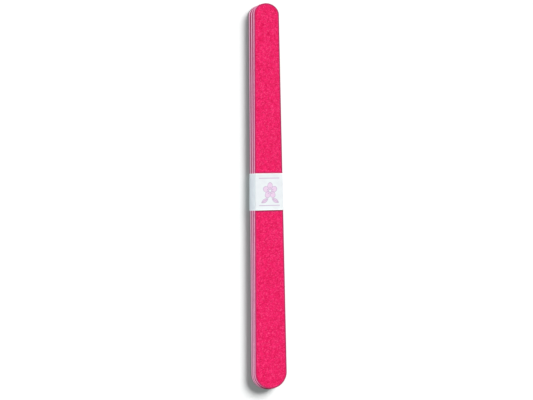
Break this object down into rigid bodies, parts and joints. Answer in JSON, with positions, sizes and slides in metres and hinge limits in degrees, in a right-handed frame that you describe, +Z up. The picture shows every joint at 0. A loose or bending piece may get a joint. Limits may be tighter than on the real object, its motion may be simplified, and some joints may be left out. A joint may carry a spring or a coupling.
{
  "type": "pack of emery boards",
  "caption": "Tapered pink emery boards with rounded ends, stacked flat and held near the middle by a folded white paper band; each board slides out lengthwise.",
  "frame": {"origin": "below the middle of the boards, on the plane that the underside of the band's lap lies on", "axes": "+Y along the boards towards their narrow end, +X across the boards, +Z up through the stack"},
  "size_m": [0.017, 0.1786, 0.0057],
  "materials": {
    "pink_grit": "matte",
    "backing_paper": "matte",
    "laminating_glue": "satin",
    "pulp_board": "matte",
    "band_paper": "matte",
    "lap_glue": "satin"
  },
  "bodies": {
    "paper_band": {"paper_band": "band_paper", "band_lap_glue": "lap_glue"},
    "lower_board": {"lower_bottom_grit": "pink_grit", "lower_bottom_paper": "backing_paper", "lower_bottom_glue": "laminating_glue", "lower_core": "pulp_board", "lower_top_glue": "laminating_glue", "lower_top_paper": "backing_paper", "lower_top_grit": "pink_grit"},
    "middle_board": {"middle_bottom_grit": "pink_grit", "middle_bottom_paper": "backing_paper", "middle_bottom_glue": "laminating_glue", "middle_core": "pulp_board", "middle_top_glue": "laminating_glue", "middle_top_paper": "backing_paper", "middle_top_grit": "pink_grit"},
    "upper_board": {"upper_bottom_grit": "pink_grit", "upper_bottom_paper": "backing_paper", "upper_bottom_glue": "laminating_glue", "upper_core": "pulp_board", "upper_top_glue": "laminating_glue", "upper_top_paper": "backing_paper", "upper_top_grit": "pink_grit"}
  },
  "joints": [
    {"name": "lower_board_slide", "type": "slide", "parent": "paper_band", "child": "lower_board", "axis": [0, -1, 0], "range_m": [0, 0.1]},
    {"name": "middle_board_slide", "type": "slide", "parent": "paper_band", "child": "middle_board", "axis": [0, -1, 0], "range_m": [0, 0.1]},
    {"name": "upper_board_slide", "type": "slide", "parent": "paper_band", "child": "upper_board", "axis": [0, -1, 0], "range_m": [0, 0.1]}
  ]
}
